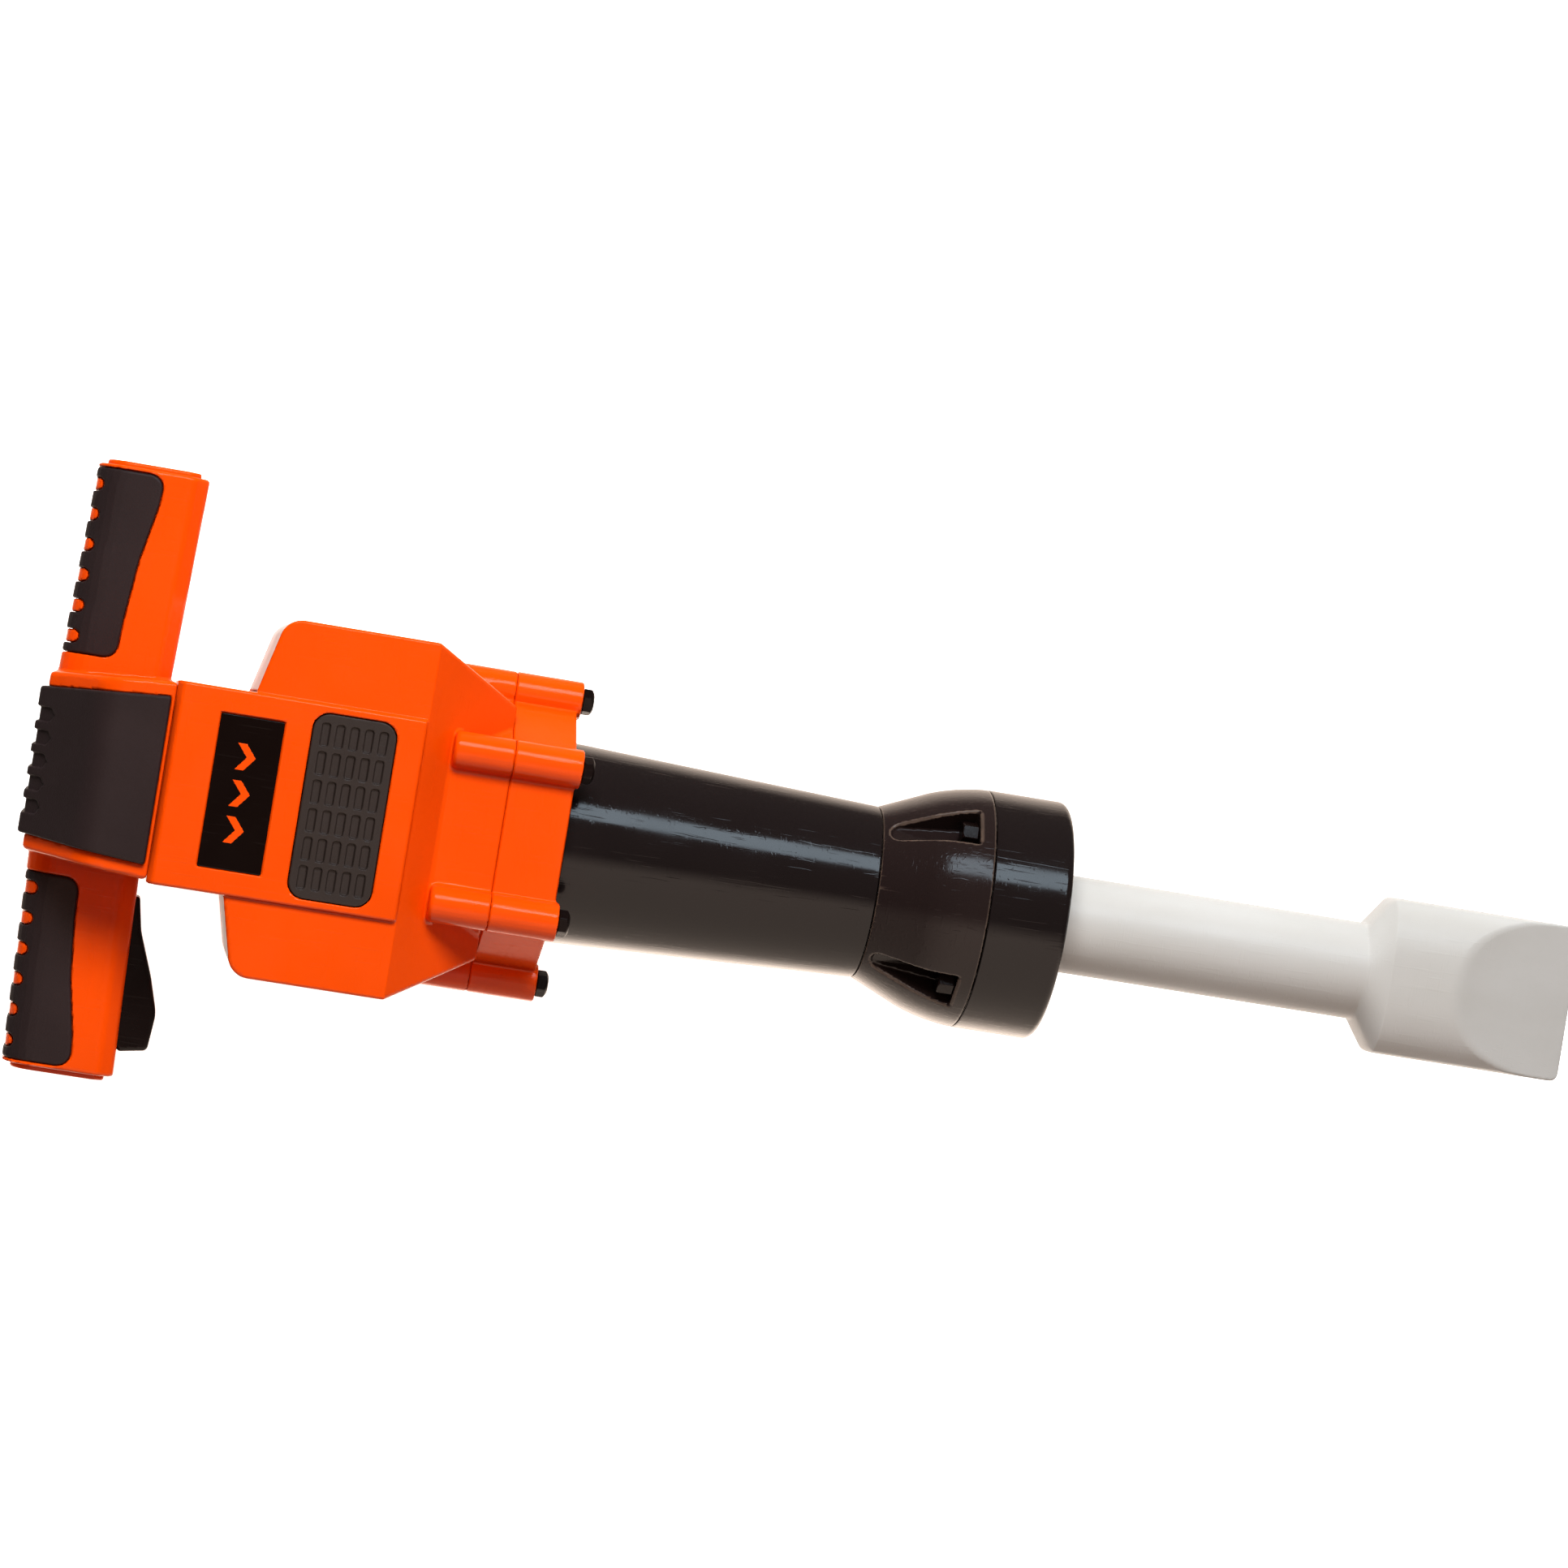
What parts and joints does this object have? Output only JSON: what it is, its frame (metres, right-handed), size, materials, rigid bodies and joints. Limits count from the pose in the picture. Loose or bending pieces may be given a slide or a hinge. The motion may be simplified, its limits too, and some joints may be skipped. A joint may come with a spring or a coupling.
{
  "type": "toy demolition hammer",
  "caption": "Toy demolition hammer with a T handle, trigger, boxy housing, tapered barrel and a wide sprung chisel, driven inside by a motor, gear and cam.",
  "frame": {"origin": "centre of the bounding box's bottom face; the toy lies on its back", "axes": "+X along the tool axis towards the chisel tip, +Y along the handle towards the plain grip (the trigger is on -Y), +Z out of the front face"},
  "size_m": [0.5828, 0.222, 0.1144],
  "materials": {
    "orange_plastic": "moulded ABS, semi-gloss, slightly translucent orange",
    "soft_grip": "satin black overmould with a fine grain",
    "black_plastic": "satin black moulded plastic",
    "gloss_black_plastic": "gloss black moulded plastic",
    "grey_plastic": "light grey moulded plastic",
    "silver_plastic": "silver grey moulded plastic with a fine pearl flake",
    "steel": "plated steel",
    "circuit_board": "green solder mask",
    "battery_jacket": "plain printed jacket"
  },
  "bodies": {
    "housing": {"front_cover": "orange_plastic", "rear_cover": "orange_plastic", "nose_housing": "orange_plastic", "handle_front_shell": "orange_plastic", "handle_rear_shell": "orange_plastic", "end_cap_plain": "orange_plastic", "end_cap_trigger": "orange_plastic", "hub_pad": "soft_grip", "grip_pad_plain": "soft_grip", "grip_pad_trigger": "soft_grip", "label_plate": "black_plastic", "speaker_grille": "black_plastic", "head_cone": "black_plastic", "trigger_switch": "black_plastic", "gearbox_frame": "black_plastic", "battery_box": "black_plastic", "speaker": "black_plastic", "nose_bolt_1": "black_plastic", "nose_bolt_2": "black_plastic", "nose_bolt_3": "black_plastic", "nose_bolt_4": "black_plastic", "nose_bolt_5": "black_plastic", "nose_bolt_6": "black_plastic", "head_bolt_1": "black_plastic", "head_bolt_2": "black_plastic", "head_bolt_3": "black_plastic", "head_bolt_4": "black_plastic", "barrel": "gloss_black_plastic", "collar": "gloss_black_plastic", "chassis": "grey_plastic", "guide_bush": "grey_plastic", "spring_seat": "grey_plastic", "chisel_spring": "steel", "trigger_pin": "steel", "trigger_spring": "steel", "motor": "steel", "gear_axle": "steel", "case_screw_1": "steel", "case_screw_2": "steel", "case_screw_3": "steel", "case_screw_4": "steel", "handle_screw_1": "steel", "handle_screw_2": "steel", "handle_screw_3": "steel", "circuit_board": "circuit_board", "battery_cell_1": "battery_jacket", "battery_cell_2": "battery_jacket", "battery_cell_3": "battery_jacket"},
    "trigger": {"trigger": "black_plastic"},
    "switch_plunger": {"switch_plunger": "grey_plastic"},
    "motor_pinion": {"motor_pinion": "steel"},
    "drive_gear": {"drive_gear": "grey_plastic"},
    "chisel": {"chisel": "silver_plastic", "push_rod": "steel"},
    "battery_door": {"battery_door": "orange_plastic", "battery_door_screw": "steel"},
    "power_switch": {"power_switch": "black_plastic"}
  },
  "joints": [
    {"name": "trigger_hinge", "type": "hinge", "parent": "housing", "child": "trigger", "pos_m": [-0.25345, -0.047, 0.057], "axis": [0, 0, -1], "range_deg": [0, 5], "stiffness_Nm_per_rad": 0.6, "springref_deg": -5.73, "deforming": ["trigger_spring"]},
    {"name": "plunger_slide", "type": "slide", "parent": "housing", "child": "switch_plunger", "axis": [-1, 0, 0], "range_m": [0, 0.0028]},
    {"name": "gear_spin", "type": "hinge", "parent": "housing", "child": "drive_gear", "pos_m": [-0.09105, 0, 0.057], "axis": [0, 1, 0], "continuous": true},
    {"name": "motor_spin", "type": "hinge", "parent": "housing", "child": "motor_pinion", "pos_m": [-0.11945, 0, 0.057], "axis": [0, 1, 0], "continuous": true},
    {"name": "chisel_slide", "type": "slide", "parent": "housing", "child": "chisel", "axis": [-1, 0, 0], "range_m": [0, 0.01], "stiffness_N_per_m": 300, "springref_m": -0.02, "deforming": ["chisel_spring"]},
    {"name": "battery_door_lift", "type": "slide", "parent": "housing", "child": "battery_door", "axis": [0, 0, -1], "range_m": [0, 0.025]},
    {"name": "power_switch_slide", "type": "slide", "parent": "housing", "child": "power_switch", "axis": [0, 1, 0], "range_m": [0, 0.005]}
  ],
  "couplings": [
    {"joint": "plunger_slide", "follows": "trigger_hinge", "m_per_rad": 0.03},
    {"joint": "motor_spin", "follows": "gear_spin", "ratio": -3.6667}
  ]
}
